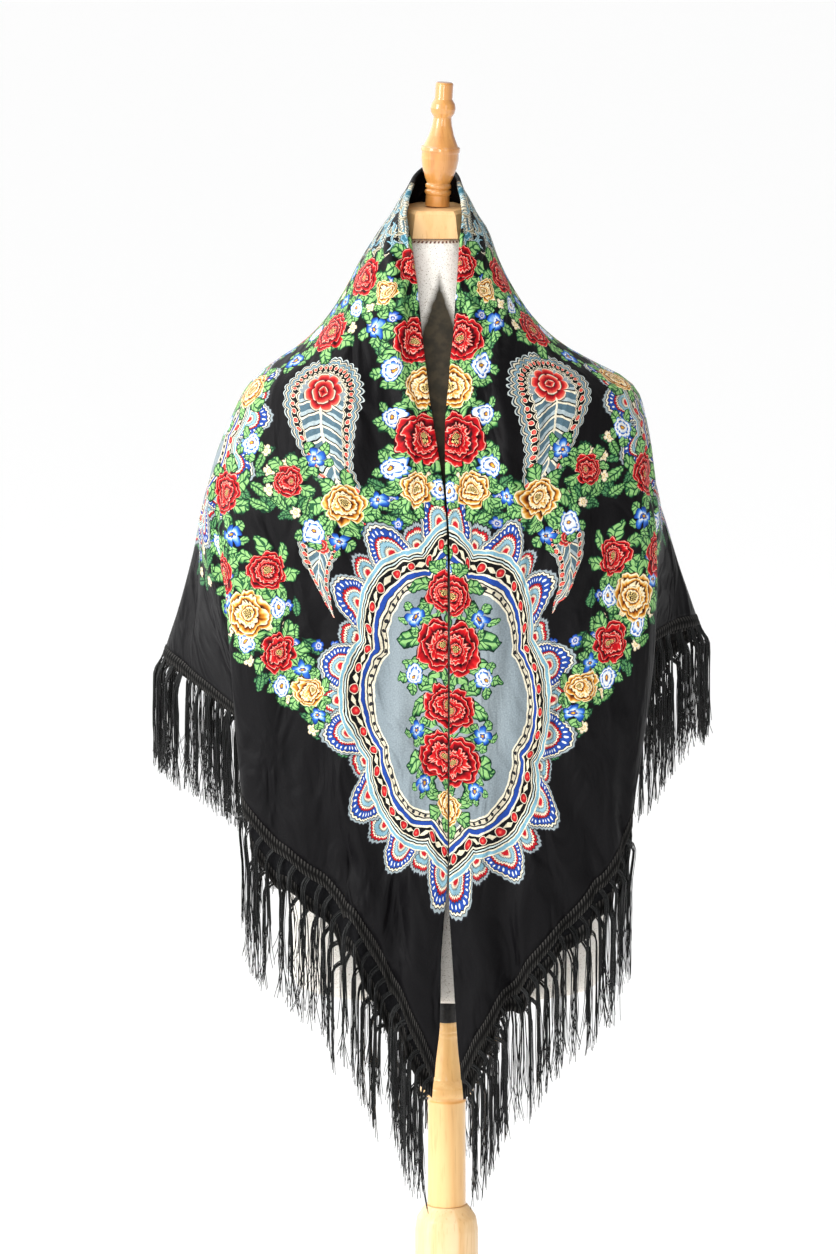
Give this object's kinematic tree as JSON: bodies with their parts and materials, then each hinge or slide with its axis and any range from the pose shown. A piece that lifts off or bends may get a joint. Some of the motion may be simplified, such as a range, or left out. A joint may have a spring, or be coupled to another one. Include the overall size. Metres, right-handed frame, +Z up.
{
  "type": "fringed square shawl draped on a dress form with a wooden stand",
  "caption": "Large fringed floral shawl, folded on its diagonal and draped over a linen dress form on a turned wooden stand.",
  "frame": {"origin": "centre of the round base's underside, on the post's axis", "axes": "+Z up along the post; the shawl's open front faces -Y; +X is to the right seen from the front"},
  "size_m": [0.5536, 0.4058, 1.561],
  "materials": {
    "printed_cloth": "matt black ground, fine twill, printed with flowers and grey scalloped medallions",
    "black_braid": "ribbed braid, slight sheen",
    "black_fringe": "lustrous rayon yarn",
    "linen": "natural linen, matt",
    "pale_wood": "satin, pale",
    "varnished_wood": "honey varnish, semi-gloss",
    "black_metal": "semi-gloss black"
  },
  "bodies": {
    "root": {"shawl_cloth": "printed_cloth", "heading_outer_left": "black_braid", "heading_under_left": "black_braid", "heading_outer_right": "black_braid", "heading_under_right": "black_braid", "fringe_outer_left": "black_fringe", "fringe_under_left": "black_fringe", "fringe_outer_right": "black_fringe", "fringe_under_right": "black_fringe", "dress_form": "linen", "neck_block": "pale_wood", "finial": "varnished_wood", "socket": "black_metal", "upper_post": "varnished_wood", "lower_post": "varnished_wood", "stand_base": "varnished_wood"}
  },
  "joints": []
}
